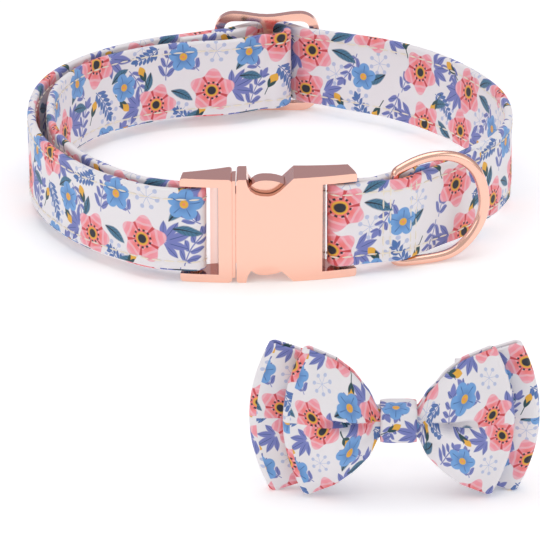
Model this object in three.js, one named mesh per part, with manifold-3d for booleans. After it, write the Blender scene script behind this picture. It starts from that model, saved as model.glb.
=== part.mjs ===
// A pet collar with a metal side release buckle, a lead ring and a slider, and the bow tie that slides
// onto it, which stands by itself in front. Millimetres, +X right, +Y away from the buckle, +Z up.
// The surface that both stand on is Z 0, and the origin is the middle of the underside of both together.

import * as THREE from "three";
import { mergeVertices } from "three/addons/utils/BufferGeometryUtils.js";
import Module from "manifold-3d";

const wasm = await Module();
wasm.setup();

// Sizes that the rest is worked out from
const GAP = 0.3;
const STRAP_WIDTH = 24.6;
const STRAP_THICK = 2.2;
const STRAP_MID_Z = 15.4;
const METAL_HEIGHT = 30.8;
const ARM_HEIGHT = 2.4;
const LOOP_CENTRE = { x: 0, y: 4 };
const LAYER = STRAP_THICK + GAP;
const BAR_RADIUS = 1.1;
const TURN_RADIUS = BAR_RADIUS + GAP + STRAP_THICK / 2;

// Places of the bars and the post that the strap turns round, seen from above
const SOCKET_BAR = { x: 19.6, y: -58.6 };
const PLUG_BAR = { x: -21.4, y: -62.0 };
const RING_POST = { x: 34.95, y: -54.16 };
const SLIDER = { x: -1.0, y: 81.5, width: 33, height: 32.1, thick: 3.2, rail: 3.0, bar: 3.0 };
const SEWN_LOOP = { x: -0.5, y: SLIDER.y - 2.8, radius: 6.0 };

// Outer face of the outermost layer: angle round the loop, counterclockwise from +X, its radius, and
// how far the strap's lower edge leans inwards of its upper edge
const OUTLINE = [
  { angle: -60, radius: 70.0, lean: 0 },
  { angle: -30, radius: 71.0, lean: 0 },
  { angle: 0, radius: 71.5, lean: 0 },
  { angle: 30, radius: 71.7, lean: 2.6 },
  { angle: 60, radius: 74.2, lean: 2.2 },
  { angle: 90, radius: 74.5, lean: 0 },
  { angle: 120, radius: 75.6, lean: 0.8 },
  { angle: 150, radius: 74.8, lean: 1.2 },
  { angle: 180, radius: 71.6, lean: 0 },
  { angle: 210, radius: 72.4, lean: 0 },
  { angle: 240, radius: 74.9, lean: 0 },
  { angle: 270, radius: 76.0, lean: 0 },
];
const OUTLINE_STEP = 30;

// Distance between the two layers on the left, middle to middle
const LAYER_SPACING = [
  { angle: 110, spacing: 8.5 },
  { angle: 125, spacing: 6.2 },
  { angle: 140, spacing: 4.6 },
  { angle: 185, spacing: 5.6 },
  { angle: 225, spacing: 5.4 },
  { angle: 252, spacing: 2 * TURN_RADIUS },
];

// Lead ring
const RING = { wire: 1.45, apexWire: 1.75, thickFrom: 7, corner: 1.7, foot: 14.0, post: 4, yaw: 18, sides: 10 };

// Middle of its wire: distance from the post, and height from the strap's middle
const RING_BOW = [
  [5, 15.6], [9, 16.7], [13.3, 17.0], [18, 16.2], [21.8, 14.2], [24.6, 11.2], [26.3, 7.6], [27.6, 1.6], [26.7, -3.6],
  [23.8, -8.6], [19.6, -12.3], [15.5, -13.9], [8, -14.0],
];

// Buckle: the curve of its front face, seen from above, and the stations of its two halves
const FACE = { x: -8.4, y: 37.0, radius: 103 };
const BUCKLE_FRONT = FACE.y - FACE.radius - 6;
const BUCKLE_BACK = BUCKLE_FRONT + 30;
const SOCKET = {
  left: -9.4, right: 24.4, recess: 14.7, slant: 0.9, slantDepth: 4.4, wall: 2.2, cavityRight: 12.4, corner: 0.9,
};
const PLUG = { left: -25.2, right: -10.6, column: -14.4, slant: -3.0, slantDepth: 10, corner: 1.1 };
const NECK = { inset: 1.5, edge: 0.9, root: 1.5 };
const BUCKLE_DEPTH = [
  { x: -26, depth: 4.7 },
  { x: -10.6, depth: 11.2 },
  { x: -9.4, depth: 11.4 },
  { x: 6, depth: 11.0 },
  { x: 25, depth: 7.8 },
];
const SCOOP = { left: -6.6, low: -0.6, lowRight: 2.8, right: 6.6, depth: 5.0 };
const LEVER = { pivotX: 9.4, pivotDrop: 5.0, eye: 1.9, pin: 0.9, tip: -5.9, crownDrop: 1.2, inset: 2.6 };
const TONGUE = { right: 8.2, thick: 3.0, low: 8.2, inset: 4.3, guideLength: 3.7, guideLow: 5.0 };

// Bow tie
const BOW = { x: 31.4, y: -203, wall: 1.2, foldRadius: 1.2, pinch: 0.75, rimFlatness: 0.75, lean: 1.5, sink: 0.5 };
const KNOT = { width: 9.1, insideHeight: 7.4, insideDepth: 6.3, wall: 1.0, clear: 0.25, corner: 0.6 };
const ELASTIC = { x: 18.5, width: 7, wall: 0.9, insideHeight: 25.4, insideDepth: 4.8, corner: 1.0, drop: 2.3 };

// Its two loops: reach at the corners and at the middle of the fold, how far the layers swell, the side that
// faces away from the other loop, how far the loop sits aside and its wings ride up, and the wings' half
// height by distance from the knot
const BOW_FRONT = {
  corner: 23, bulge: 27.7, frontDepth: 6.8, backDepth: 1.3, outside: -1, aside: 0, rise: 0.6,
  wing: [
    { x: 4.9, half: 3.4 },
    { x: 7, half: 8.2 },
    { x: 11, half: 13.0 },
    { x: 15.5, half: 16.6 },
    { x: 23, half: 19.8 },
  ],
};
const BOW_REAR = {
  corner: 30.3, bulge: 35, frontDepth: 1.3, backDepth: 3.6, outside: 1, aside: -0.9, rise: 0,
  wing: [
    { x: 5.8, half: 3.4 },
    { x: 7.8, half: 6.8 },
    { x: 11, half: 10.0 },
    { x: 15.5, half: 13.6 },
    { x: 23, half: 17.6 },
    { x: 30.3, half: 20.0 },
  ],
};

const COLOURS = {
  cloth: { color: 0xece6ea, roughness: 0.85, metalness: 0.0 },
  metal: { color: 0xe8b7a2, roughness: 0.18, metalness: 1.0 },
  elastic: { color: 0xf2efee, roughness: 0.9, metalness: 0.0 },
};

const radians = THREE.MathUtils.degToRad;

// Value between the rows of a table, on straight lines
function between(rows, key, value, at) {
  const last = rows.length - 1;
  if (at <= rows[0][key]) return rows[0][value];
  if (at >= rows[last][key]) return rows[last][value];
  const next = rows.findIndex((row) => row[key] > at);
  const share = (at - rows[next - 1][key]) / (rows[next][key] - rows[next - 1][key]);
  return THREE.MathUtils.lerp(rows[next - 1][value], rows[next][value], share);
}

// Value of the outline table at an angle, on a smooth curve through its evenly spaced rows
function outline(value, angle) {
  const place = THREE.MathUtils.clamp((angle - OUTLINE[0].angle) / OUTLINE_STEP, 0, OUTLINE.length - 1.001);
  const row = Math.floor(place);
  const share = place - row;
  const [a, b, c, d] = [-1, 0, 1, 2].map((step) => {
    return OUTLINE[THREE.MathUtils.clamp(row + step, 0, OUTLINE.length - 1)][value];
  });
  const slopeB = (c - a) / 2;
  const slopeC = (d - b) / 2;
  const curve = 2 * b - 2 * c + slopeB + slopeC;
  return ((curve * share + (-3 * b + 3 * c - 2 * slopeB - slopeC)) * share + slopeB) * share + b;
}

// Path point at an angle and radius from the middle of the loop; its Z holds the lean
function polar(angle, radius, lean = 0) {
  const turn = radians(angle);
  return new THREE.Vector3(
    LOOP_CENTRE.x + radius * Math.cos(turn), LOOP_CENTRE.y + radius * Math.sin(turn), lean);
}

// Path points along the outline between two angles, at a depth below its outer face
function alongOutline(from, to, step, depthAt) {
  const count = Math.round(Math.abs(to - from) / step);
  return Array.from({ length: count + 1 }, (_, i) => {
    const angle = THREE.MathUtils.lerp(from, to, i / count);
    const lean = outline("lean", angle);
    return polar(angle, outline("radius", angle) - STRAP_THICK / 2 - lean / 2 - depthAt(angle), lean);
  });
}

// Path points on an arc round a peg
function arc(peg, radius, from, to, step = 30) {
  const count = Math.max(1, Math.ceil(Math.abs(to - from) / step));
  return Array.from({ length: count + 1 }, (_, i) => {
    const turn = radians(THREE.MathUtils.lerp(from, to, i / count));
    return new THREE.Vector3(peg.x + radius * Math.cos(turn), peg.y + radius * Math.sin(turn), 0);
  });
}

// Volume of a closed indexed mesh, negative where its faces point in
function signedVolume(positions, index) {
  const [a, b, c] = [new THREE.Vector3(), new THREE.Vector3(), new THREE.Vector3()];
  let volume = 0;
  for (let i = 0; i < index.length; i += 3) {
    a.fromArray(positions, index[i] * 3);
    b.fromArray(positions, index[i + 1] * 3);
    c.fromArray(positions, index[i + 2] * 3);
    volume += a.dot(b.cross(c)) / 6;
  }
  return volume;
}

// Geometry from points and triangles, turned to face outwards
function closedGeometry(points, index) {
  const positions = points.flatMap((point) => [point.x, point.y, point.z]);
  const turned = signedVolume(positions, index) < 0 ? [...index].reverse() : index;
  const geometry = new THREE.BufferGeometry();
  geometry.setAttribute("position", new THREE.Float32BufferAttribute(positions, 3));
  geometry.setIndex(turned);
  return geometry;
}

// Closed solid through rings with the same number of points; a looped one joins its last ring to its first
function skin(rings, looped = false) {
  const sides = rings[0].length;
  const points = rings.flat();
  const index = [];
  const spans = looped ? rings.length : rings.length - 1;
  for (let i = 0; i < spans; i += 1) {
    const here = i * sides;
    const there = ((i + 1) % rings.length) * sides;
    for (let j = 0; j < sides; j += 1) {
      const next = (j + 1) % sides;
      index.push(here + j, there + j, there + next, here + j, there + next, here + next);
    }
  }
  if (!looped) {
    const end = (rings.length - 1) * sides;
    for (let j = 1; j < sides - 1; j += 1) {
      index.push(0, j, j + 1, end, end + j + 1, end + j);
    }
  }
  return closedGeometry(points, index);
}

// Joins and cuts, on closed geometries
function solid(geometry) {
  const bare = geometry.clone();
  bare.deleteAttribute("normal");
  bare.deleteAttribute("uv");
  const merged = mergeVertices(bare, 1e-4);
  return new wasm.Manifold(new wasm.Mesh({
    numProp: 3,
    vertProperties: merged.attributes.position.array,
    triVerts: new Uint32Array(merged.index.array),
  }));
}

function geometryOf(body) {
  const mesh = body.getMesh();
  const geometry = new THREE.BufferGeometry();
  geometry.setAttribute("position", new THREE.BufferAttribute(mesh.vertProperties, 3));
  geometry.setIndex(new THREE.BufferAttribute(mesh.triVerts, 1));
  return geometry;
}

// A plan outline, seen from above, raised from one height to another
function raised(shape, z0, z1, curveSegments = 4) {
  const made = new THREE.ExtrudeGeometry(shape, { depth: z1 - z0, bevelEnabled: false, curveSegments });
  return solid(made.translate(0, 0, z0));
}

// A front outline, in X and Z, run from one Y to another
function runBack(shape, y0, y1, curveSegments = 4) {
  const made = new THREE.ExtrudeGeometry(shape, { depth: y1 - y0, bevelEnabled: false, curveSegments });
  return solid(made.rotateX(Math.PI / 2).translate(0, y1, 0));
}

// An outline in Y and Z, run along X on both sides of 0
function runAcross(shape, width, curveSegments = 4) {
  const made = new THREE.ExtrudeGeometry(shape, { depth: width, bevelEnabled: false, curveSegments });
  const turn = new THREE.Matrix4().makeBasis(
    new THREE.Vector3(0, 1, 0), new THREE.Vector3(0, 0, 1), new THREE.Vector3(1, 0, 0));
  return made.translate(0, 0, -width / 2).applyMatrix4(turn);
}

// Rectangle with round corners, centred on a point
function roundedRectangle(Path, centreX, centreY, width, height, radius) {
  const path = new Path();
  const [x, y] = [width / 2 - radius, height / 2 - radius];
  path.absarc(centreX + x, centreY + y, radius, 0, Math.PI / 2);
  path.absarc(centreX - x, centreY + y, radius, Math.PI / 2, Math.PI);
  path.absarc(centreX - x, centreY - y, radius, Math.PI, Math.PI * 1.5);
  path.absarc(centreX + x, centreY - y, radius, Math.PI * 1.5, Math.PI * 2);
  path.closePath();
  return path;
}

function piece(name, geometry, colours) {
  const mesh = new THREE.Mesh(geometry, new THREE.MeshStandardMaterial(colours));
  mesh.name = name;
  return mesh;
}

// Strap

// The strap's run, seen from above: tail, socket bar, right half, slider, outer left layer, plug bar,
// inner left layer, round the slider's middle bar, sewn short end
function strapPath() {
  const half = STRAP_THICK / 2;
  const tail = [polar(-31, 69.6), polar(-38, 69.2), polar(-46, 68.7), polar(-53, 69.6), polar(-59, 70.75),
    polar(-64.5, 68.8)];
  const socketTurn = arc(SOCKET_BAR, TURN_RADIUS, -80, -280, 25);
  const underTail = [polar(-65, 65.9), polar(-59, 64.95), polar(-52, 65.4), polar(-45, 66.0), polar(-37, 66.5),
    polar(-29, 67.4), polar(-21, 69.2)];
  const rightHalf = alongOutline(-10, 68, 6, () => 0);
  const neckSide = SLIDER.y - SLIDER.thick / 2;
  const rightRail = { x: SLIDER.x + SLIDER.width / 2 - SLIDER.rail, y: neckSide };
  const leftRail = { x: SLIDER.x - SLIDER.width / 2 + SLIDER.rail, y: neckSide };
  const barEnd = { x: -2.1, y: SLIDER.y + SLIDER.thick / 2 - 0.1 };
  const near = half + GAP + 0.1;
  const slopeIn = 127;
  const slopeOut = 219.5;
  const weave = [
    ...arc(rightRail, near, -84, slopeIn - 270, 30),
    ...arc(SEWN_LOOP, SEWN_LOOP.radius + LAYER, slopeIn - 90, 90, 18),
    ...arc(barEnd, near + LAYER, 90, slopeOut - 90, 20),
    ...arc(leftRail, near, slopeOut + 90 - 360, -96, 30),
  ];
  const leftOuter = alongOutline(110, 244, 6.1, () => 0);
  const plugTurn = arc(PLUG_BAR, TURN_RADIUS, -98, 98, 28);
  const spacing = (angle) => between(LAYER_SPACING, "angle", "spacing", angle);
  const leftInner = alongOutline(240, 110, 6.5, spacing);
  const toLoop = [[-15, 66.6], [-9.5, 68.6], [-5.2, 70.9]].map(([x, y]) => new THREE.Vector3(x, y, 0));
  const loopTurn = arc(SEWN_LOOP, SEWN_LOOP.radius, -100, 90, 28);
  const shortEnd = [
    ...arc(barEnd, near, 90, slopeOut - 90, 30),
    ...arc(leftRail, near + LAYER, slopeOut + 90 - 360, -92, 22),
    new THREE.Vector3(-18.4, 73.75, 0), polar(109.5, 71.4), polar(113, 71.45),
  ];
  return [...tail, ...socketTurn, ...underTail, ...rightHalf, ...weave, ...leftOuter, ...plugTurn,
    ...leftInner, ...toLoop, ...loopTurn, ...shortEnd];
}

// Section of the strap: distance out from its middle, and height from its middle
function strapSection() {
  const half = STRAP_THICK / 2;
  const top = STRAP_WIDTH / 2;
  const corner = 0.7;
  const quarter = [[half, top - corner], [half * 0.4, top]];
  const upper = [...quarter, ...quarter.map(([out, up]) => [-out, up]).reverse()];
  return [...upper, ...upper.map(([out, up]) => [-out, -up])];
}

function strap() {
  const curve = new THREE.CatmullRomCurve3(strapPath(), false, "centripetal");
  const spans = curve.points.length - 1;
  const longSpan = 3.6;
  const rings = [];
  const section = strapSection();
  const addRing = (share) => {
    const at = curve.getPoint(share);
    const ahead = curve.getPoint(Math.min(1, share + 1e-4));
    const behind = curve.getPoint(Math.max(0, share - 1e-4));
    const way = new THREE.Vector2(ahead.x - behind.x, ahead.y - behind.y).normalize();
    const outward = new THREE.Vector2(way.y, -way.x);
    const facing = Math.sign(outward.x * (at.x - LOOP_CENTRE.x) + outward.y * (at.y - LOOP_CENTRE.y));
    rings.push(section.map(([out, up]) => {
      const shift = out + (facing * at.z * up) / STRAP_WIDTH;
      return new THREE.Vector3(at.x + outward.x * shift, at.y + outward.y * shift, STRAP_MID_Z + up);
    }));
  };
  for (let i = 0; i < spans; i += 1) {
    const gone = Math.hypot(
      curve.points[i + 1].x - curve.points[i].x, curve.points[i + 1].y - curve.points[i].y);
    const steps = Math.ceil(gone / longSpan);
    for (let j = 0; j < steps; j += 1) addRing((i + j / steps) / spans);
  }
  addRing(1);
  return piece("strap", skin(rings), COLOURS.cloth);
}

// Buckle

// Point on the buckle's front face or at a depth behind it, at an X
function facePoint(x, depth) {
  const side = (x - FACE.x) / FACE.radius;
  const drop = FACE.radius * Math.sqrt(1 - side * side);
  const inwards = new THREE.Vector2(-side, Math.sqrt(1 - side * side));
  return new THREE.Vector2(x + inwards.x * depth, FACE.y - drop + inwards.y * depth);
}

// Plan of a stretch of the buckle between two depths, each a number or the buckle's own depth less a wall
function bucklePlan(x0, x1, front, back, steps = 8) {
  const stations = Array.from({ length: steps + 1 }, (_, i) => THREE.MathUtils.lerp(x0, x1, i / steps));
  const depthAt = (x) => between(BUCKLE_DEPTH, "x", "depth", x) - back;
  const near = stations.map((x) => facePoint(x, front));
  const far = stations.map((x) => facePoint(x, depthAt(x))).reverse();
  return new THREE.Shape([...near, ...far]);
}

// Finger cut-out in the upper edge, as a front outline that reaches above it
function scoopShape(mirrored) {
  const edge = (drop) => (mirrored ? drop : METAL_HEIGHT - drop);
  const shape = new THREE.Shape();
  shape.moveTo(SCOOP.left, edge(-2));
  shape.lineTo(SCOOP.left, edge(0.4));
  shape.bezierCurveTo(SCOOP.left + 0.4, edge(SCOOP.depth * 0.75), SCOOP.low - 3.4, edge(SCOOP.depth),
    SCOOP.low, edge(SCOOP.depth));
  shape.bezierCurveTo(SCOOP.low + 1.6, edge(SCOOP.depth), SCOOP.lowRight - 1, edge(SCOOP.depth * 0.85),
    SCOOP.lowRight, edge(SCOOP.depth * 0.72));
  shape.lineTo(SCOOP.right, edge(0));
  shape.lineTo(SCOOP.right + 0.8, edge(-2));
  shape.closePath();
  return shape;
}

function bar(place, radius, z0, z1, sides = 12) {
  const round = new THREE.CylinderGeometry(radius, radius, z1 - z0, sides).rotateX(Math.PI / 2);
  return solid(round.translate(place.x, place.y, (z0 + z1) / 2));
}

// Rounds the corners of a buckle half, seen from the front
function frontBlank(left, right, radius) {
  const middle = (left + right) / 2;
  const shape = roundedRectangle(
    THREE.Shape, middle, METAL_HEIGHT / 2, right - left, METAL_HEIGHT, radius);
  return runBack(shape, BUCKLE_FRONT, BUCKLE_BACK, 3);
}

// Opening that the strap comes through, between the arms. Its inner wall slants towards the strap.
function strapOpening(outer, wall, slant, slantDepth) {
  const start = facePoint(wall, 1.2).y;
  const end = facePoint(wall, slantDepth).y;
  const plan = [[outer, BUCKLE_FRONT], [wall, BUCKLE_FRONT], [wall, start], [wall + slant, end],
    [wall + slant, BUCKLE_BACK], [outer, BUCKLE_BACK]];
  const shape = new THREE.Shape(plan.map(([x, y]) => new THREE.Vector2(x, y)));
  return raised(shape, ARM_HEIGHT, METAL_HEIGHT - ARM_HEIGHT);
}

// Pin that a lever turns on, at the top or the bottom
function pivot(mirrored) {
  const z = mirrored ? LEVER.pivotDrop : METAL_HEIGHT - LEVER.pivotDrop;
  return { x: LEVER.pivotX, z };
}

function pivotPin(mirrored, y0, y1) {
  const { x, z } = pivot(mirrored);
  const round = new THREE.CylinderGeometry(LEVER.pin, LEVER.pin, y1 - y0, 10);
  return solid(round.translate(x, (y0 + y1) / 2, z));
}

function buckleSocket() {
  const { left, right, recess, slant, slantDepth, wall, cavityRight, corner } = SOCKET;
  let body = raised(bucklePlan(left, right, 0, 0, 10), 0, METAL_HEIGHT)
    .intersect(frontBlank(left, right, corner));
  const mouth = raised(bucklePlan(left - 1, cavityRight, wall, wall, 6), ARM_HEIGHT, METAL_HEIGHT - ARM_HEIGHT);
  body = body.subtract(mouth).subtract(strapOpening(right + 2, recess, slant, slantDepth));
  const pinFront = facePoint(LEVER.pivotX, wall / 2).y;
  const pinBack = facePoint(LEVER.pivotX, between(BUCKLE_DEPTH, "x", "depth", LEVER.pivotX) - wall / 2).y;
  for (const mirrored of [false, true]) {
    body = body.subtract(runBack(scoopShape(mirrored), BUCKLE_FRONT, BUCKLE_BACK, 5));
    body = body.add(pivotPin(mirrored, pinFront, pinBack));
  }
  body = body.add(bar(SOCKET_BAR, BAR_RADIUS, ARM_HEIGHT / 2, METAL_HEIGHT - ARM_HEIGHT / 2));
  return piece("buckle_socket", geometryOf(body), COLOURS.metal);
}

function bucklePlug() {
  const { left, right, column, slant, slantDepth, corner } = PLUG;
  let body = raised(bucklePlan(left, right, 0, 0, 6), 0, METAL_HEIGHT)
    .intersect(frontBlank(left, right, corner));
  body = body.subtract(strapOpening(left - 2, column, slant, slantDepth));
  body = body.add(bar(PLUG_BAR, BAR_RADIUS, ARM_HEIGHT / 2, METAL_HEIGHT - ARM_HEIGHT / 2));
  const forward = (x1, front, back, low, steps) => raised(
    bucklePlan(right - NECK.root, x1, front, back, steps), low, METAL_HEIGHT - low);
  const plugDepth = between(BUCKLE_DEPTH, "x", "depth", right);
  const tongue = forward(TONGUE.right, TONGUE.inset, plugDepth - TONGUE.inset - TONGUE.thick, TONGUE.low, 6);
  const clear = SOCKET.wall + GAP;
  const guide = forward(right + TONGUE.guideLength, clear, clear, TONGUE.guideLow, 2);
  const neck = forward(SOCKET.left - GAP, NECK.inset, NECK.inset, NECK.edge, 1);
  body = body.add(tongue).add(guide).add(neck);
  return piece("buckle_plug", geometryOf(body), COLOURS.metal);
}

// Thumb piece: a crowned lens with a tail that ends in the pivot's eye
function lever(name, mirrored) {
  const { eye, pin, tip, crownDrop, inset } = LEVER;
  const { x: pivotX, z: pivotZ } = pivot(mirrored);
  const edge = (drop) => (mirrored ? drop : METAL_HEIGHT - drop);
  const shape = new THREE.Shape();
  shape.moveTo(tip, edge(3.6));
  shape.bezierCurveTo(tip + 1.2, edge(crownDrop), -2.6, edge(crownDrop), -1.2, edge(crownDrop));
  shape.bezierCurveTo(1.6, edge(crownDrop + 0.1), 3.4, edge(2.0), 5.2, edge(3.2));
  shape.lineTo(pivotX, edge(LEVER.pivotDrop - eye));
  shape.lineTo(pivotX, edge(LEVER.pivotDrop + eye));
  shape.lineTo(4.0, edge(6.4));
  shape.bezierCurveTo(1.0, edge(6.6), tip + 3, edge(6.8), tip, edge(3.6));
  const thumb = runBack(shape, BUCKLE_FRONT, BUCKLE_BACK, 5);
  const middle = (BUCKLE_FRONT + BUCKLE_BACK) / 2;
  const depth = BUCKLE_BACK - BUCKLE_FRONT;
  const round = new THREE.CylinderGeometry(eye, eye, depth, 14).translate(pivotX, middle, pivotZ);
  const hole = new THREE.CylinderGeometry(pin + GAP, pin + GAP, depth + 1, 12).translate(pivotX, middle, pivotZ);
  const depthOnly = raised(bucklePlan(tip - 1, pivotX + eye + 0.5, inset, inset, 6), 0, METAL_HEIGHT);
  const body = thumb.add(solid(round)).intersect(depthOnly).subtract(solid(hole));
  return piece(name, geometryOf(body), COLOURS.metal);
}

// Lead ring: post between the strap's layers, arms above and below it, and a bow that stands out in front
function leadRing() {
  const { wire, apexWire, thickFrom, corner, foot, post, yaw, sides } = RING;
  const bend = (sign, from, to) => [0, 1, 2].map((i) => {
    const turn = radians(THREE.MathUtils.lerp(from, to, i / 2));
    return [corner + corner * Math.cos(turn), sign * (foot - corner) + corner * Math.sin(turn)];
  });
  const loop = [...RING_BOW, ...bend(-1, 270, 180), [0, -post], [0, post], ...bend(1, 180, 90)];
  const length = Math.max(...RING_BOW.map(([along]) => along));
  const rings = loop.map(([along, up], i) => {
    const before = loop[(i + loop.length - 1) % loop.length];
    const after = loop[(i + 1) % loop.length];
    const way = new THREE.Vector2(after[0] - before[0], after[1] - before[1]).normalize();
    const swell = THREE.MathUtils.smoothstep(along, thickFrom, length);
    return Array.from({ length: sides }, (_, side) => {
      const turn = (2 * Math.PI * side) / sides;
      const inPlane = THREE.MathUtils.lerp(wire, apexWire, swell) * Math.cos(turn);
      return new THREE.Vector3(along + way.y * inPlane, wire * Math.sin(turn), up - way.x * inPlane);
    });
  });
  const ring = piece("d_ring", skin(rings, true), COLOURS.metal);
  ring.position.set(RING_POST.x, RING_POST.y, STRAP_MID_Z);
  ring.rotation.z = radians(yaw);
  return ring;
}

// Window of the slider, with rounder corners at its head than at its foot
function sliderWindow(outer, inner, low, high) {
  const way = Math.sign(inner - outer);
  const foot = 2.2;
  const head = 3.2;
  const path = new THREE.Path();
  path.moveTo(outer, low + foot);
  path.quadraticCurveTo(outer, low, outer + way * foot, low);
  path.lineTo(inner - way * foot, low);
  path.quadraticCurveTo(inner, low, inner, low + foot);
  path.lineTo(inner, high - head);
  path.quadraticCurveTo(inner, high, inner - way * head, high);
  path.lineTo(outer + way * head, high);
  path.quadraticCurveTo(outer, high, outer, high - head);
  path.closePath();
  return path;
}

// Adjuster: rounded frame with a dip in its upper edge, two windows and a middle bar
function slider() {
  const { width, height, thick, rail, bar: barWidth } = SLIDER;
  const half = width / 2;
  const corner = 6;
  const dip = 1.1;
  const frame = new THREE.Shape();
  frame.moveTo(-half + corner, 0);
  frame.lineTo(half - corner, 0);
  frame.absarc(half - corner, corner, corner, -Math.PI / 2, 0);
  frame.lineTo(half, height - corner);
  frame.absarc(half - corner, height - corner, corner, 0, Math.PI / 2);
  frame.bezierCurveTo(half - corner - 4, height, 4, height - dip, 0, height - dip);
  frame.bezierCurveTo(-4, height - dip, -half + corner + 4, height, -half + corner, height);
  frame.absarc(-half + corner, height - corner, corner, Math.PI / 2, Math.PI);
  frame.lineTo(-half, corner);
  frame.absarc(-half + corner, corner, corner, Math.PI, Math.PI * 1.5);
  const barMiddle = 0.4;
  const edge = 2.5;
  for (const side of [-1, 1]) {
    frame.holes.push(sliderWindow(side * (half - rail), barMiddle + (side * barWidth) / 2, edge, height - edge));
  }
  const body = runBack(frame, -thick / 2, thick / 2, 5);
  const mesh = piece("slider", geometryOf(body), COLOURS.metal);
  mesh.position.set(SLIDER.x, SLIDER.y, 0);
  return mesh;
}

// Bow tie

// Share of a wing that the knot holds
function heldShare(loop) {
  return (KNOT.width / 2 + KNOT.clear + Math.abs(loop.aside)) / (loop.corner - BOW.foldRadius);
}

// Point in the middle of a bow loop's wall. share runs from -1 at the left fold to 1 at the right one,
// side is -1 on the layer in front and 1 on the layer behind, and height runs from -1 to 1.
function bowPoint(loop, share, side, height) {
  const reach = loop.corner + (loop.bulge - loop.corner) * (1 - height * height);
  const far = Math.abs(share);
  const held = heldShare(loop);
  const spread = THREE.MathUtils.smoothstep(far, held, 0.55);
  const close = THREE.MathUtils.smoothstep(far, 0.5, 1);
  const full = side < 0 ? loop.frontDepth : loop.backDepth;
  const crowned = Math.max(BOW.pinch, full * (1 - BOW.rimFlatness * height * height));
  const puffed = THREE.MathUtils.lerp(BOW.pinch, crowned, spread);
  const apart = THREE.MathUtils.lerp(puffed, BOW.foldRadius, close);
  const outer = side === loop.outside;
  const fading = 1 - THREE.MathUtils.smoothstep(far, 0.35, 0.85);
  const valley = outer ? Math.exp(-((height / 0.2) ** 2)) * fading : 0;
  const lean = loop.outside * (BOW.lean + 0.65 * THREE.MathUtils.smoothstep(far, held, 0.45));
  const pressed = BOW.pinch + (apart - BOW.pinch) * (1 - 0.75 * valley);
  const half = between(loop.wing, "x", "half", far * (loop.corner - BOW.foldRadius));
  const lifted = THREE.MathUtils.lerp(-BOW.sink, loop.rise, spread);
  const aside = loop.aside + share * (reach - BOW.foldRadius);
  return new THREE.Vector3(aside, lean + side * pressed, height * half + lifted);
}

// A loop of cloth: an outer and an inner grid joined along their upper and lower rims
function bowLoop(name, loop) {
  const across = 8;
  const rows = 8;
  const stations = [];
  const held = heldShare(loop);
  const wing = Array.from({ length: across }, (_, i) => THREE.MathUtils.lerp(held, 1, i / (across - 1)));
  const shares = [...[...wing].reverse().map((share) => -share), 0, ...wing];
  for (const share of shares) stations.push({ share, side: -1, fold: 0 });
  stations.push({ share: 1, side: 0, fold: 1 });
  for (const share of [...shares].reverse()) stations.push({ share, side: 1, fold: 0 });
  stations.push({ share: -1, side: 0, fold: -1 });
  const middle = (station, height) => {
    if (!station.fold) return bowPoint(loop, station.share, station.side, height);
    const front = bowPoint(loop, station.share, -1, height);
    const back = bowPoint(loop, station.share, 1, height);
    const point = front.clone().lerp(back, 0.5);
    point.x += station.fold * BOW.foldRadius;
    return point;
  };
  const wallAt = (i, height) => {
    const count = stations.length;
    const at = middle(stations[i], height);
    const along = middle(stations[(i + 1) % count], height)
      .sub(middle(stations[(i + count - 1) % count], height)).normalize();
    const out = new THREE.Vector3(along.y, -along.x, 0).multiplyScalar(BOW.wall / 2);
    return [at.clone().add(out), at.clone().sub(out)];
  };
  const rings = stations.map((_, i) => {
    const outer = [];
    const inner = [];
    for (let row = 0; row <= rows; row += 1) {
      const place = (2 * row) / rows - 1;
      const [outside, inside] = wallAt(i, Math.sign(place) * Math.abs(place) ** 1.25);
      outer.push(outside);
      inner.push(inside);
    }
    return [...outer, ...inner.reverse()];
  });
  return piece(name, skin(rings, true), COLOURS.cloth);
}

// A band that goes round something: a rounded tube of cloth or elastic, seen from the side
function band(name, { width, insideDepth, insideHeight, wall, corner }, colours) {
  const shape = roundedRectangle(
    THREE.Shape, 0, 0, insideDepth + 2 * wall, insideHeight + 2 * wall, corner + wall);
  shape.holes.push(roundedRectangle(THREE.Path, 0, 0, insideDepth, insideHeight, corner));
  return piece(name, runAcross(shape, width, 5), colours);
}

// Furthest back that the rear loop reaches where an elastic loop is sewn on
function backOfWing() {
  let back = 0;
  for (let place = 0; place <= 1; place += 0.05) {
    for (let share = 0.3; share <= 0.9; share += 0.02) {
      const point = bowPoint(BOW_REAR, share, 1, place);
      if (Math.abs(point.x - BOW_REAR.aside - ELASTIC.x) > ELASTIC.width / 2 + 0.5) continue;
      back = Math.max(back, point.y + BOW.wall / 2);
    }
  }
  return back;
}

function bowTie() {
  const bow = new THREE.Group();
  bow.add(bowLoop("bow_front", BOW_FRONT), bowLoop("bow_rear", BOW_REAR));
  const knot = band("bow_knot", KNOT, COLOURS.cloth);
  knot.position.z = -BOW.sink;
  bow.add(knot);
  const elasticPlace = backOfWing() + GAP + ELASTIC.wall + ELASTIC.insideDepth / 2;
  for (const [name, side] of [["elastic_left", -1], ["elastic_right", 1]]) {
    const elastic = band(name, ELASTIC, COLOURS.elastic);
    elastic.position.set(BOW_REAR.aside + side * ELASTIC.x, elasticPlace, -ELASTIC.drop);
    bow.add(elastic);
  }
  bow.position.set(BOW.x, BOW.y, between(BOW_REAR.wing, "x", "half", BOW_REAR.corner - BOW.foldRadius));
  return bow;
}

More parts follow.
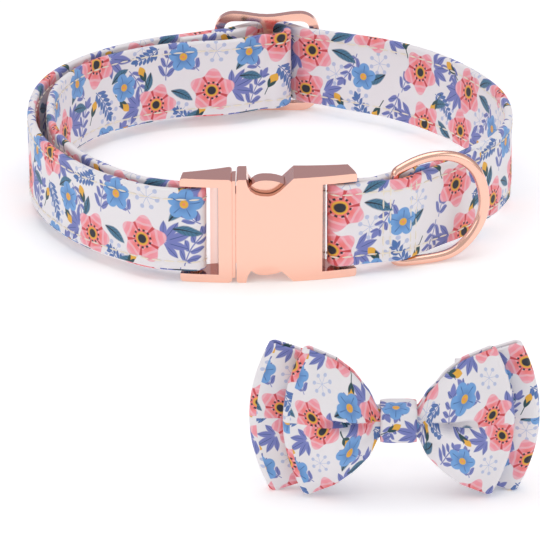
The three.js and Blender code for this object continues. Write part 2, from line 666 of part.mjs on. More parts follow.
// The collar and its bow tie, moved so that the origin is the middle of their underside
const group = new THREE.Group();
group.add(strap(), buckleSocket(), bucklePlug(), lever("lever_top", false), lever("lever_bottom", true));
group.add(leadRing(), slider(), bowTie());
group.updateMatrixWorld(true);
const extent = new THREE.Box3().setFromObject(group, true);
group.position.set(-(extent.min.x + extent.max.x) / 2, -(extent.min.y + extent.max.y) / 2, -extent.min.z);

export default group;
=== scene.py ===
# %% [markdown]
# # A floral pet collar and its bow tie
#
# This lesson dresses a imported model of a pet collar: printed cotton webbing, rose gold plated
# buckle, lead ring and slider, and a slip-on bow tie that stands in front. The model gives
# every size and place, and this script gives the looks. We start by loading it, and we keep
# its box.

# %% The model and its box
import math

import bmesh
import bpy
import numpy as np
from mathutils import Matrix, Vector, noise


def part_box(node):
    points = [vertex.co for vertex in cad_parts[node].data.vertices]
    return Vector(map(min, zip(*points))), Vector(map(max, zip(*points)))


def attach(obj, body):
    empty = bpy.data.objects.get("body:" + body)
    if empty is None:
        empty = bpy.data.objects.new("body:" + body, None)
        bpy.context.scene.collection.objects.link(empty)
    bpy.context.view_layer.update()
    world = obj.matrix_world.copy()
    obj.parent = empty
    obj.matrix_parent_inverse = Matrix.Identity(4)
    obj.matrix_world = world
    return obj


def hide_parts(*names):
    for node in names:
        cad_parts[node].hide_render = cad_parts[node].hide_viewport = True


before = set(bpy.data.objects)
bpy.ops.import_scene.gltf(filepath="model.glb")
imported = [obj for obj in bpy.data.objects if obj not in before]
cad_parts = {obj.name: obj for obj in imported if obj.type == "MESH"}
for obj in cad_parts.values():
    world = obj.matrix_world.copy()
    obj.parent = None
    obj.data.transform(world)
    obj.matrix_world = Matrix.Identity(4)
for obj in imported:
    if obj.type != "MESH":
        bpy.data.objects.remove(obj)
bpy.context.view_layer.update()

MM = 0.001

# %% [markdown]
# The sizes below are the ones that the model was made from, in millimetres, seen from above
# with the middle of the collar's loop near zero. The model's own zero is under the middle of
# the collar and the bow together, so the slider's box tells us how far everything moves.

# %% Sizes that more than one piece needs
GAP = 0.3
STRAP_WIDTH = 24.6
STRAP_THICK = 2.2
STRAP_MID_Z = 15.4
LAYER = STRAP_THICK + GAP
BAR_RADIUS = 1.1
TURN_RADIUS = BAR_RADIUS + GAP + STRAP_THICK / 2
LOOP_CENTRE = (0.0, 4.0)
SOCKET_BAR = (19.6, -58.6)
PLUG_BAR = (-21.4, -62.0)
SLIDER_MIDDLE = (-1.0, 81.5)
SLIDER_WIDTH = 33.0
SLIDER_THICK = 3.2
SLIDER_RAIL = 3.0

low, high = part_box("slider")
SHIFT = Vector(((low.x + high.x) / 2 / MM - SLIDER_MIDDLE[0],
                (low.y + high.y) / 2 / MM - SLIDER_MIDDLE[1],
                low.z / MM))
print("the model's own zero is moved by", [round(value, 2) for value in SHIFT])


def way_round(points):
    """Distance walked at each point of a closed line of points, and back at its start."""
    line = np.array([tuple(point) for point in points])
    steps = np.linalg.norm(np.roll(line, -1, axis=0) - line, axis=1)
    return np.concatenate([[0], np.cumsum(steps)])

# %% [markdown]
# ## Colours of the print and the metal
#
# Colours are easiest to judge as screen values from 0 to 255, but Blender computes in linear
# light, so one helper turns the first into the second.

# %% Colours
def screen(red, green, blue):
    """Linear colour from screen values of 0 to 255."""
    linear = []
    for value in (red, green, blue):
        share = value / 255
        linear.append(share / 12.92 if share <= 0.04045 else ((share + 0.055) / 1.055) ** 2.4)
    return (*linear, 1.0)


COLOURS = {
    "ground": screen(244, 240, 243),
    "coral": screen(250, 122, 117),
    "deep coral": screen(214, 72, 78),
    "pink": screen(252, 162, 176),
    "pale pink": screen(250, 198, 207),
    "periwinkle": screen(122, 130, 196),
    "deep periwinkle": screen(48, 82, 142),
    "sky": screen(116, 168, 226),
    "deep sky": screen(76, 118, 180),
    "mustard": screen(240, 180, 60),
    "green": screen(35, 75, 80),
    "teal": screen(70, 120, 152),
    "ink": screen(30, 34, 48),
    "berry": screen(195, 203, 232),
    "cream thread": screen(240, 230, 214),
}

# %% [markdown]
# ## Writing shader maths as sums
#
# A print is a long sum of shapes. Wiring a few hundred Math nodes by hand would hide the
# idea, so a small class lets us write the maths as Python sums. Each + or * adds a node.

# %% A value on its way through a node tree
class Wire:
    """A socket of a node tree that can be used in sums."""

    def __init__(self, tree, socket):
        self.tree = tree
        self.socket = socket

    def math(self, operation, *others, clamp=False):
        node = self.tree.nodes.new("ShaderNodeMath")
        node.operation = operation
        node.use_clamp = clamp
        for place, value in enumerate((self, *others)):
            plug(self.tree, node.inputs[place], value)
        return Wire(self.tree, node.outputs[0])

    def __add__(self, other):
        return self.math("ADD", other)

    def __sub__(self, other):
        return self.math("SUBTRACT", other)

    def __rsub__(self, other):
        return self.math("MULTIPLY", -1).math("ADD", other)

    def __mul__(self, other):
        return self.math("MULTIPLY", other)

    def __truediv__(self, other):
        return self.math("DIVIDE", other)

    __radd__ = __add__
    __rmul__ = __mul__

    def size(self):
        return self.math("ABSOLUTE")

    def under(self, edge, blur):
        """1 where the value is under the edge, 0 over it, with a soft step between them."""
        past_edge = self - edge
        node = self.tree.nodes.new("ShaderNodeMapRange")
        node.interpolation_type = "SMOOTHSTEP"
        node.clamp = False
        plug(self.tree, node.inputs["Value"], past_edge)
        node.inputs["From Min"].default_value = -blur
        node.inputs["From Max"].default_value = blur
        node.inputs["To Min"].default_value = 1
        node.inputs["To Max"].default_value = 0
        return Wire(self.tree, node.outputs[0])

    def over(self, edge, blur):
        return 1 - self.under(edge, blur)


def plug(tree, socket, value):
    """Feed a socket with a wire or a plain value."""
    if isinstance(value, Wire):
        tree.links.new(value.socket, socket)
    else:
        socket.default_value = value


def blend(tree, share, first, second):
    """Colour between two colours."""
    node = tree.nodes.new("ShaderNodeMix")
    node.data_type = "RGBA"
    ends = {socket.identifier: socket for socket in (*node.inputs, *node.outputs)}
    plug(tree, ends["Factor_Float"], share)
    plug(tree, ends["A_Color"], first)
    plug(tree, ends["B_Color"], second)
    return Wire(tree, ends["Result_Color"])


def split(tree, vector):
    """The first two parts of a vector. Dot products leave no unused third part behind."""
    parts = []
    for axis in ((1, 0, 0), (0, 1, 0)):
        node = tree.nodes.new("ShaderNodeVectorMath")
        node.operation = "DOT_PRODUCT"
        plug(tree, node.inputs[0], vector)
        node.inputs[1].default_value = axis
        parts.append(Wire(tree, node.outputs["Value"]))
    return parts


def new_group(name, inputs, outputs):
    """Empty shader node group with named inputs and outputs: (tree, wires in, output node)."""
    tree = bpy.data.node_groups.new(name, "ShaderNodeTree")
    kinds = {"number": "NodeSocketFloat", "vector": "NodeSocketVector", "colour": "NodeSocketColor"}
    for label, kind in inputs.items():
        tree.interface.new_socket(label, in_out="INPUT", socket_type=kinds[kind])
    for label, kind in outputs.items():
        tree.interface.new_socket(label, in_out="OUTPUT", socket_type=kinds[kind])
    start = tree.nodes.new("NodeGroupInput")
    wires = {label: Wire(tree, start.outputs[label]) for label in inputs}
    return tree, wires, tree.nodes.new("NodeGroupOutput")


def use_group(tree, group, values):
    """Place a group in a tree and feed its inputs; gives its outputs as wires by name."""
    node = tree.nodes.new("ShaderNodeGroup")
    node.node_tree = group
    for label, value in values.items():
        plug(tree, node.inputs[label], value)
    return {socket.name: Wire(tree, socket) for socket in node.outputs}

# %% [markdown]
# ## The floral print
#
# The cloth is printed with a repeat, as real cloth is. Each motif is a node group that
# measures the cloth in its own directions: it takes the place on the cloth in millimetres,
# moves its own middle to zero, wraps what it sees to the size of the repeat, and turns and
# scales it. It then lays its colours over the colour that comes in, so a print is a chain
# of motifs. The motifs are common garden shapes: blossoms, leaves, sprigs, buds and berries.

# %% The repeat, and how a motif finds its own place
REPEAT = (64.0, 40.0)
MOTIF_INPUTS = {"Cloth": "vector", "Across": "number", "Up": "number", "Turn": "number",
                "Size": "number", "Under": "colour"}


def motif_place(tree, wires):
    """Coordinates in a motif's own directions, where 1 is the motif's size."""
    middle = tree.nodes.new("ShaderNodeCombineXYZ")
    plug(tree, middle.inputs["X"], wires["Across"])
    plug(tree, middle.inputs["Y"], wires["Up"])
    away = tree.nodes.new("ShaderNodeVectorMath")
    away.operation = "SUBTRACT"
    plug(tree, away.inputs[0], wires["Cloth"])
    tree.links.new(middle.outputs[0], away.inputs[1])
    wrapped = tree.nodes.new("ShaderNodeVectorMath")
    wrapped.operation = "WRAP"
    tree.links.new(away.outputs[0], wrapped.inputs[0])
    wrapped.inputs[1].default_value = (REPEAT[0] / 2, REPEAT[1] / 2, 1)
    wrapped.inputs[2].default_value = (-REPEAT[0] / 2, -REPEAT[1] / 2, -1)
    back = 0 - wires["Turn"]
    turned = tree.nodes.new("ShaderNodeVectorRotate")
    turned.rotation_type = "Z_AXIS"
    tree.links.new(wrapped.outputs[0], turned.inputs["Vector"])
    plug(tree, turned.inputs["Angle"], back)
    x, y = split(tree, Wire(tree, turned.outputs[0]))
    return x / wires["Size"], y / wires["Size"]


def motif(name, paint):
    """Node group that paints one motif: paint gives (colour, share) layers, lowest first."""
    tree, wires, end = new_group(name, MOTIF_INPUTS, {"Colour": "colour"})
    x, y = motif_place(tree, wires)
    colour = wires["Under"]
    for top, share in paint(tree, x, y):
        colour = blend(tree, share, colour, top)
    plug(tree, end.inputs["Colour"], colour)
    return tree


def around(x, y):
    """Distance and angle from the motif's middle."""
    reach = (x * x + y * y).math("SQRT")
    return reach, y.math("ARCTAN2", x)


def leaf(along, side, width, blur=0.03):
    """Share of a pointed leaf that runs from 0 to 1 along its midrib, side being how far off it."""
    inside = along.math("MAXIMUM", 0).math("MINIMUM", 1)
    outline = (inside * math.pi).math("SINE").math("MAXIMUM", 0).math("POWER", 0.8) * (width + blur)
    return (side - outline).under(-blur, blur)


def disc(along, off, middle, radius, blur=0.03):
    """Share of a round spot that sits at middle along a line."""
    ahead = along - middle
    return (ahead * ahead + off * off).math("SQRT").under(radius, blur)

# %% [markdown]
# A blossom is a wavy circle: its edge swings in and out five times as the angle goes round.
# Strokes of a lighter pink follow the petals, and dark dots stand round the heart.

# %% Five-petalled blossom
def paint_blossom(tree, x, y):
    reach, angle = around(x, y)
    wave = (angle * 5).math("COSINE")
    rim = 0.86 + wave * 0.14
    inside = (reach - rim).under(0, 0.03)
    shade = (reach / rim).over(0.62, 0.3)
    petal = blend(tree, shade, COLOURS["coral"], COLOURS["pink"])
    crease = wave.under(-0.9, 0.06) * reach.over(0.34, 0.05)
    stroke = (reach * 21 + wave * 1.1).math("SINE").over(0.5, 0.3) * reach.over(0.36, 0.05)
    dots = ((angle * 11).math("COSINE").over(0.1, 0.4)
            * (reach - 0.36).size().under(0.045, 0.02))
    return [
        (petal, inside),
        (COLOURS["pale pink"], stroke * inside * 0.75),
        (COLOURS["deep coral"], crease * inside),
        (COLOURS["mustard"], reach.under(0.27, 0.03)),
        (COLOURS["ink"], reach.under(0.19, 0.03)),
        (COLOURS["ink"], dots),
    ]


BLOSSOM = motif("blossom", paint_blossom)

# %% [markdown]
# The blue flower is made of round petals. One petal is drawn once, and the angle is wrapped
# five times round the middle, which repeats it at no cost.

# %% Blue flower with round petals
def paint_forget_me_not(tree, x, y):
    reach, angle = around(x, y)
    step = math.radians(36)
    folded = angle.math("WRAP", step, -step)
    along = reach * folded.math("COSINE")
    off = reach * folded.math("SINE")
    petal = disc(along, off, 0.58, 0.41)
    thin = (off.size() - along * 0.05).under(0, 0.015)
    vein = thin * reach.over(0.3, 0.05) * reach.under(0.8, 0.1)
    hollow = reach.under(0.5, 0.2)
    return [
        (COLOURS["sky"], petal),
        (COLOURS["deep sky"], petal * hollow * 0.45),
        (COLOURS["deep sky"], vein * petal),
        (COLOURS["mustard"], reach.under(0.25, 0.03)),
        (COLOURS["coral"], reach.under(0.09, 0.02) * 0.6),
    ]


FORGET_ME_NOT = motif("forget me not", paint_forget_me_not)

# %% [markdown]
# A sprig repeats one leaf along its stem. The leaves lean forwards, so the repeat is taken
# along a leaning line: along that line, one leaf never reaches into its neighbour's stretch.

# %% Sprig of paired leaves, fan of long leaves
def sprig_painter(pairs, lean, colour, deep):
    def paint(tree, x, y):
        bent = y - (x * math.pi).math("SINE") * 0.07
        side = bent.size()
        start = x - side / math.tan(lean)
        cell = (start * pairs).math("FLOOR").math("MAXIMUM", 0).math("MINIMUM", pairs - 1)
        off = (start - (cell + 0.5) / pairs) * math.sin(lean)
        length = 0.36 - cell * (0.17 / pairs)
        along = side / math.sin(lean) / length
        off_rib = off.size()
        leaves = leaf(along, off_rib / length, 0.23, 0.05)
        leaves = leaves * start.over(0.02, 0.01) * start.under(1, 0.01)
        tip = leaf((x - 0.86) / 0.34, side / 0.34, 0.24, 0.05)
        stem = side.under(0.014, 0.01) * x.over(0, 0.01) * x.under(0.95, 0.01)
        rib = off_rib.under(0.008, 0.008) * leaves
        return [(colour, stem.math("MAXIMUM", leaves).math("MAXIMUM", tip)), (deep, rib * 0.8)]
    return paint


def paint_fan(tree, x, y):
    reach, angle = around(x, y)
    step = math.radians(17)
    folded = angle.math("WRAP", step, -step)
    ahead = angle.size().under(math.radians(84), 0.03)
    number = (angle / (2 * step) + 0.5).math("FLOOR").size()
    length = 1.0 - number * 0.13
    side = (reach * folded.math("SINE") / length).size()
    leaves = leaf(reach / length - 0.04, side, 0.17) * ahead
    rib = side.under(0.012, 0.01) * reach.over(0.25, 0.05) * leaves
    return [(COLOURS["periwinkle"], leaves), (COLOURS["deep periwinkle"], rib)]


SPRIG = motif("sprig", sprig_painter(4, math.radians(48), COLOURS["periwinkle"],
                                     COLOURS["deep periwinkle"]))
FERN = motif("fern", sprig_painter(6, math.radians(55), COLOURS["deep sky"], COLOURS["periwinkle"]))
FAN = motif("fan", paint_fan)

# %% Single leaf, bud and berries
def paint_leaf(tree, x, y):
    side = (y - (x * math.pi).math("SINE") * 0.06).size()
    blade = leaf(x, side, 0.17)
    rib = (side - (1 - x) * 0.03).under(0, 0.012) * blade * x.under(0.86, 0.04)
    veins = ((x - side * 1.1) * 44).math("SINE").over(0.72, 0.15) * blade
    return [(COLOURS["teal"], blade), (COLOURS["green"], veins * 0.45), (COLOURS["ink"], rib)]


def paint_bud(tree, x, y):
    side = y.size()
    petal = leaf((x - 0.3) / 0.7, side / 0.7, 0.33)
    wing = leaf(x / 0.62, ((side - x * 0.3) / 0.62).size(), 0.16)
    stem = side.under(0.03, 0.015) * x.over(-0.45, 0.02) * x.under(0.3, 0.02)
    return [(COLOURS["mustard"], petal), (COLOURS["green"], wing.math("MAXIMUM", stem))]


def paint_berries(tree, x, y):
    reach, angle = around(x, y)
    step = math.pi / 7
    folded = angle.math("WRAP", step, -step)
    along = reach * folded.math("COSINE")
    off = reach * folded.math("SINE")
    berry = disc(along, off, 0.82, 0.17)
    stalk = off.size().under(0.022, 0.012) * reach.under(0.72, 0.03)
    return [(COLOURS["berry"], berry.math("MAXIMUM", stalk))]


LEAF = motif("single leaf", paint_leaf)
BUD = motif("bud", paint_bud)
BERRIES = motif("berries", paint_berries)

# %% [markdown]
# The chart is laid out as a textile designer does it: the big blossoms are spread so that no
# straight line runs through them, and the blue flowers, leaves and berries fill the ground.
# The lowest come first. Places and sizes are millimetres of cloth, and turns are degrees.

# %% Chart of the repeat
CHART = [
    # motif, across, up, turn, size
    (BERRIES, 35.0, 6.0, 10, 4.2), (BERRIES, 9.5, 20.8, 40, 3.8), (BERRIES, 49.5, 24.0, 0, 4.0),
    (BERRIES, 28.0, 33.0, 25, 3.8), (BERRIES, 61.8, 1.5, 0, 3.9), (BERRIES, 43.0, 38.6, 30, 3.9),
    (SPRIG, 20.0, 1.0, 62, 12.0), (SPRIG, 4.0, 14.6, 118, 10.5), (SPRIG, 24.0, 13.5, 128, 10.0),
    (SPRIG, 44.2, 17.5, -62, 10.5), (SPRIG, 19.0, 40.5, -118, 10.5), (SPRIG, 57.0, 12.5, 75, 11.5),
    (SPRIG, 36.0, 31.0, 62, 11.0), (SPRIG, 62.0, 26.0, 100, 9.5),
    (FERN, 30.0, 13.8, -58, 10.5), (FERN, 4.5, 37.5, 150, 9.5), (FERN, 55.0, 23.0, -160, 9.0),
    (FAN, 14.0, 8.0, 20, 8.5), (FAN, 36.5, 23.0, -15, 9.0), (FAN, 47.5, 5.0, 165, 8.0),
    (FAN, 6.5, 30.0, 195, 8.0), (FAN, 56.5, 33.5, 35, 8.0), (FAN, 25.5, 24.5, 195, 7.5),
    (LEAF, 15.5, 14.0, 42, 9.0), (LEAF, 16.5, 12.0, -12, 8.5), (LEAF, 45.0, 31.0, 160, 9.5),
    (LEAF, 45.5, 28.5, 205, 8.5), (LEAF, 58.5, 9.0, -28, 8.5), (LEAF, 25.5, 36.0, 25, 9.0),
    (LEAF, 37.0, 14.5, 28, 8.0), (LEAF, 6.0, 2.0, 200, 8.0), (LEAF, 52.0, 16.0, 250, 7.5),
    (BUD, 27.0, 6.5, 60, 5.5), (BUD, 50.0, 13.0, 110, 5.5), (BUD, 3.0, 39.0, 60, 5.5),
    (BUD, 18.5, 27.0, -70, 5.5), (BUD, 40.0, 9.0, -50, 5.5), (BUD, 60.0, 29.0, -30, 5.5),
    (BLOSSOM, 8.0, 8.0, 12, 7.2), (BLOSSOM, 31.0, 22.5, 40, 7.6), (BLOSSOM, 53.5, 5.0, 70, 6.8),
    (BLOSSOM, 12.0, 32.5, 25, 7.0), (BLOSSOM, 51.5, 32.0, 5, 7.4),
    (FORGET_ME_NOT, 20.0, 19.5, 8, 4.9), (FORGET_ME_NOT, 42.0, 12.6, 30, 4.6),
    (FORGET_ME_NOT, 63.0, 19.5, 20, 4.9), (FORGET_ME_NOT, 33.5, 38.0, 50, 4.4),
]


def printed_colour():
    """Node group: place on the cloth in millimetres to the colour of the print."""
    tree, wires, end = new_group("floral print", {"Cloth": "vector"}, {"Colour": "colour"})
    colour = COLOURS["ground"]
    for group, across, up, turn, size in CHART:
        colour = use_group(tree, group, {
            "Cloth": wires["Cloth"], "Across": across, "Up": up, "Turn": math.radians(turn),
            "Size": size, "Under": colour})["Colour"]
    plug(tree, end.inputs["Colour"], colour)
    return tree


PRINT = printed_colour()
print("the print's repeat holds", len(CHART), "motifs")

# %% [markdown]
# ## Materials
#
# The cloth material reads a UV map whose unit is a millimetre of cloth, so every piece shows
# the print at its true size, and the bow can show it smaller. A fine weave goes into a bump
# group, which gives a normal, and a crossing value that darkens the colour a little towards
# grey as painted shade of the weave.

# %% Cloth
def weave_group():
    """Node group: cloth coordinates to a bumped normal of crossing threads, and the crossing value
    for painted weave shade.
    """
    tree, wires, end = new_group("weave", {"Cloth": "vector", "Pitch": "number", "Depth": "number"},
                                 {"Normal": "vector", "Thread": "number"})
    x, y = split(tree, wires["Cloth"])
    warp = (x * (2 * math.pi) / wires["Pitch"]).math("SINE")
    weft = (y * (2 * math.pi) / wires["Pitch"]).math("SINE")
    crossing = (warp * weft + 1) * 0.5
    grain = tree.nodes.new("ShaderNodeTexNoise")
    plug(tree, grain.inputs["Vector"], wires["Cloth"])
    grain.inputs["Scale"].default_value = 0.9
    grain.inputs["Detail"].default_value = 2
    height = crossing + Wire(tree, grain.outputs["Fac"]) * 0.8
    bump = tree.nodes.new("ShaderNodeBump")
    bump.inputs["Strength"].default_value = 1
    plug(tree, bump.inputs["Distance"], wires["Depth"])
    plug(tree, bump.inputs["Height"], height)
    tree.links.new(bump.outputs["Normal"], end.inputs["Normal"])
    # The crossing value goes out to paint the weave's shade into the cloth colour.
    plug(tree, end.inputs["Thread"], crossing)
    return tree


WEAVE = weave_group()


def new_material(name, roughness, metallic=0.0):
    """Material with a Principled shader: (material, tree, shader node)."""
    material = bpy.data.materials.new(name)
    material.use_nodes = True
    tree = material.node_tree
    tree.nodes.clear()
    shader = tree.nodes.new("ShaderNodeBsdfPrincipled")
    shader.inputs["Roughness"].default_value = roughness
    shader.inputs["Metallic"].default_value = metallic
    output = tree.nodes.new("ShaderNodeOutputMaterial")
    tree.links.new(shader.outputs[0], output.inputs[0])
    return material, tree, shader


def cloth_material(name, printed, pitch=0.42, depth=0.00005):
    material, tree, shader = new_material(name, 0.82)
    uv_map = tree.nodes.new("ShaderNodeUVMap")
    uv_map.uv_map = "Cloth"
    place = Wire(tree, uv_map.outputs[0])
    weave = use_group(tree, WEAVE, {"Cloth": place, "Pitch": pitch, "Depth": depth})
    colour = use_group(tree, PRINT, {"Cloth": place})["Colour"] if printed else COLOURS["ground"]
    # Painted shade: the colour darkens a little towards grey where the weave's threads cross,
    # standing in for the shade in the weave.
    shaded = blend(tree, weave["Thread"] * 0.1, colour, screen(120, 120, 128))
    plug(tree, shader.inputs["Base Color"], shaded)
    plug(tree, shader.inputs["Normal"], weave["Normal"])
    shader.inputs["Sheen Weight"].default_value = 0.15
    return material


PRINTED_CLOTH = cloth_material("printed cotton", printed=True)
ELASTIC_CLOTH = cloth_material("ribbed elastic", printed=False, pitch=1.1, depth=0.00015)

THREAD, _, thread_shader = new_material("cream thread", 0.6)
thread_shader.inputs["Base Color"].default_value = COLOURS["cream thread"]

ROSE_GOLD, _, metal_shader = new_material("rose gold plating", 0.16, metallic=1.0)
metal_shader.inputs["Base Color"].default_value = (0.97, 0.585, 0.465, 1)
print("materials:", [material.name for material in bpy.data.materials])

# %% [markdown]
# ## The run of the strap
#
# The strap is one band that follows one path: out of the first turn round the buckle's bar,
# half way round the loop, through the slider, and back round the other side in two layers.
# The path's height is the same everywhere, so its third number is free, and it holds how far
# the lower edge leans inwards.

# %% Path of the strap, seen from above
OUTLINE_FIRST = -60
OUTLINE_STEP = 30
OUTLINE_RADIUS = [70.0, 71.0, 71.5, 71.7, 74.2, 74.5, 75.6, 74.8, 71.6, 72.4, 74.9, 76.0]
OUTLINE_LEAN = [0, 0, 0, 2.6, 2.2, 0, 0.8, 1.2, 0, 0, 0, 0]
SPACING_ANGLES = [110, 125, 140, 185, 225, 252]
SPACING = [8.5, 6.2, 4.6, 5.6, 5.4, 2 * TURN_RADIUS]


def smooth_row(values, angle):
    """Value of an evenly spaced table on a smooth curve through its rows."""
    place = min(max((angle - OUTLINE_FIRST) / OUTLINE_STEP, 0), len(values) - 1.001)
    row = int(place)
    share = place - row
    a, b, c, d = (values[min(max(row + step, 0), len(values) - 1)] for step in (-1, 0, 1, 2))
    slope_b, slope_c = (c - a) / 2, (d - b) / 2
    cubic = 2 * b - 2 * c + slope_b + slope_c
    square = -3 * b + 3 * c - 2 * slope_b - slope_c
    return ((cubic * share + square) * share + slope_b) * share + b


def on_circle(middle, radius, angle, lean=0.0):
    turn = math.radians(angle)
    return Vector((middle[0] + radius * math.cos(turn), middle[1] + radius * math.sin(turn), lean))


def polar(angle, radius, lean=0.0):
    return on_circle(LOOP_CENTRE, radius, angle, lean)


def along_outline(start, stop, step, depth_at):
    angles = np.linspace(start, stop, round(abs(stop - start) / step) + 1)
    points = []
    for angle in angles:
        lean = smooth_row(OUTLINE_LEAN, angle)
        radius = smooth_row(OUTLINE_RADIUS, angle) - STRAP_THICK / 2 - lean / 2 - depth_at(angle)
        points.append(polar(angle, radius, lean))
    return points


def arc(peg, radius, start, stop, step=30):
    count = max(1, math.ceil(abs(stop - start) / step))
    return [on_circle(peg, radius, angle) for angle in np.linspace(start, stop, count + 1)]


def strap_path():
    """Points that the middle of the strap passes through, from its tail to its sewn short end."""
    half = STRAP_THICK / 2
    slider_x, slider_y = SLIDER_MIDDLE
    neck_side = slider_y - SLIDER_THICK / 2
    rail = SLIDER_WIDTH / 2 - SLIDER_RAIL
    right_rail = (slider_x + rail, neck_side)
    left_rail = (slider_x - rail, neck_side)
    bar_end = (-2.1, slider_y + SLIDER_THICK / 2 - 0.1)
    sewn_loop = (-0.5, slider_y - 2.8)
    sewn_radius = 6.0
    near = half + GAP + 0.1
    slope_in, slope_out = 127, 219.5
    return [
        *(polar(angle, radius) for angle, radius in (
            (-31, 69.6), (-38, 69.2), (-46, 68.7), (-53, 69.6), (-59, 70.75), (-64.5, 68.8))),
        *arc(SOCKET_BAR, TURN_RADIUS, -80, -280, 25),
        *(polar(angle, radius) for angle, radius in (
            (-65, 65.9), (-59, 64.95), (-52, 65.4), (-45, 66.0), (-37, 66.5), (-29, 67.4),
            (-21, 69.2))),
        *along_outline(-10, 68, 6, lambda angle: 0),
        *arc(right_rail, near, -84, slope_in - 270, 30),
        *arc(sewn_loop, sewn_radius + LAYER, slope_in - 90, 90, 18),
        *arc(bar_end, near + LAYER, 90, slope_out - 90, 20),
        *arc(left_rail, near, slope_out - 270, -96, 30),
        *along_outline(110, 244, 6.1, lambda angle: 0),
        *arc(PLUG_BAR, TURN_RADIUS, -98, 98, 28),
        *along_outline(240, 110, 6.5,
                       lambda angle: float(np.interp(angle, SPACING_ANGLES, SPACING))),
        *(Vector(point) for point in ((-15, 66.6, 0), (-9.5, 68.6, 0), (-5.2, 70.9, 0))),
        *arc(sewn_loop, sewn_radius, -100, 90, 28),
        *arc(bar_end, near, 90, slope_out - 90, 30),
        *arc(left_rail, near + LAYER, slope_out - 270, -92, 22),
        Vector((-18.4, 73.75, 0)),
        polar(109.5, 71.4),
        polar(113, 71.45),
    ]


def curve_through(points, step):
    """Points no more than a step apart on the centripetal Catmull-Rom curve through some points."""
    padded = [2 * points[0] - points[1], *points, 2 * points[-1] - points[-2]]
    curve = []
    for before, here, there, after in zip(padded, padded[1:], padded[2:], padded[3:]):
        in_, span, out = (math.sqrt((b - a).length) for a, b in
                          ((before, here), (here, there), (there, after)))
        leave = ((here - before) / in_ - (there - before) / (in_ + span)) * span + (there - here)
        arrive = ((after - there) / out - (after - here) / (span + out)) * span + (there - here)
        square = 3 * (there - here) - 2 * leave - arrive
        cubic = 2 * (here - there) + leave + arrive
        for t in np.linspace(0, 1, max(1, math.ceil((there - here).length / step)), endpoint=False):
            t = float(t)
            curve.append(here + leave * t + square * t * t + cubic * t ** 3)
    return [*curve, points[-1]]


class Run:
    """The strap's run: places along it, the way out of its face there, and its lean."""

    def __init__(self, step):
        points = np.array([tuple(point) for point in curve_through(strap_path(), step)])
        way = np.gradient(points[:, :2], axis=0)
        way /= np.linalg.norm(way, axis=1)[:, None]
        self.middle = points[:, :2]
        self.outward = np.stack([way[:, 1], -way[:, 0]], axis=1)
        side = ((self.middle - LOOP_CENTRE) * self.outward).sum(axis=1)
        self.slant = np.sign(side) * points[:, 2] / STRAP_WIDTH
        steps = np.linalg.norm(np.diff(self.middle, axis=0), axis=1)
        self.gone = np.concatenate([[0], np.cumsum(steps)])

    def point(self, i, out, up):
        """Point of station i at a distance out of the middle and up from it, in metres."""
        shift = out + self.slant[i] * up
        x, y = self.middle[i] + self.outward[i] * shift
        return (Vector((x, y, STRAP_MID_Z + up)) + SHIFT) * MM


run = Run(1.1)
print("the strap is", round(float(run.gone[-1])), "mm long, with", len(run.gone), "stations")

# %% [markdown]
# ## The strap
#
# The distance walked round its section is the second cloth coordinate. The cloth sinks under
# the seams along both edges, and puckers a little beside them, as sewn cotton does.

# %% Strap mesh
SEAM_UP = STRAP_WIDTH / 2 - 3.0
FACE_TOP = STRAP_WIDTH / 2 - 0.75


def strap_section():
    """Points round the section as (out, up, how much the cloth can move)."""
    half = STRAP_THICK / 2
    beside = 0.35
    ups = np.array([0, 2.4, 4.8, 7.0, 8.4, SEAM_UP - beside, SEAM_UP, SEAM_UP + beside,
                    10.3, 11.0, FACE_TOP])
    ups = np.concatenate([-ups[:0:-1], ups])
    face = [(half - 0.16 * math.exp(-((abs(up) - SEAM_UP) / 0.4) ** 2), up, 1.0) for up in ups]
    turns = np.radians(np.linspace(0, 180, 7)[1:-1])
    top = [(half * math.cos(turn), FACE_TOP + 0.75 * math.sin(turn), 0.3) for turn in turns]
    upper = [*face, *top]
    return [*upper, *((-out, -up, free) for out, up, free in upper)]


def pucker(gone, up, side):
    """Height of the small waves beside the seams."""
    near_seam = math.exp(-((abs(up) - SEAM_UP) / 3.2) ** 2)
    fine = noise.noise(Vector((gone / 3.4, up / 9, 7 * side)))
    broad = noise.noise(Vector((gone / 11, up / 14, 31 + 5 * side)))
    return 0.2 * fine * near_seam + 0.16 * broad


def mesh_object(name, points, faces, material, cloth=None):
    """Object from points, faces and, for each face, its corners' cloth coordinates."""
    mesh = bpy.data.meshes.new(name)
    mesh.from_pydata([tuple(point) for point in points], [], faces)
    if cloth:
        layer = mesh.uv_layers.new(name="Cloth")
        places = [place for corners in cloth for place in corners]
        layer.data.foreach_set("uv", np.array(places).ravel())
    mesh.polygons.foreach_set("use_smooth", [True] * len(faces))
    mesh.materials.append(material)
    mesh.update()
    piece = bpy.data.objects.new(name, mesh)
    bpy.context.collection.objects.link(piece)
    return piece


def band_mesh(name, run, section, material, height_at):
    """Band with a closed section along a run, its cloth coordinates in millimetres."""
    walked = way_round([(out, up) for out, up, _ in section])
    sides = len(section)
    points, faces, cloth = [], [], []
    for i, gone in enumerate(run.gone):
        for out, up, free in section:
            side = math.copysign(1, out)
            points.append(run.point(i, out + side * free * height_at(gone, up, side), up))
    for i in range(len(run.gone) - 1):
        here, there = run.gone[i], run.gone[i + 1]
        for j in range(sides):
            k = (j + 1) % sides
            faces.append((i * sides + j, i * sides + k, (i + 1) * sides + k, (i + 1) * sides + j))
            cloth.append(((here, walked[j]), (here, walked[j + 1]),
                          (there, walked[j + 1]), (there, walked[j])))
    last = (len(run.gone) - 1) * sides
    for first, order, gone in ((0, reversed(range(sides)), 0.0),
                               (last, range(sides), run.gone[-1])):
        ring = list(order)
        faces.append(tuple(first + j for j in ring))
        cloth.append(tuple((gone, walked[j]) for j in ring))
    return mesh_object(name, points, faces, material, cloth)


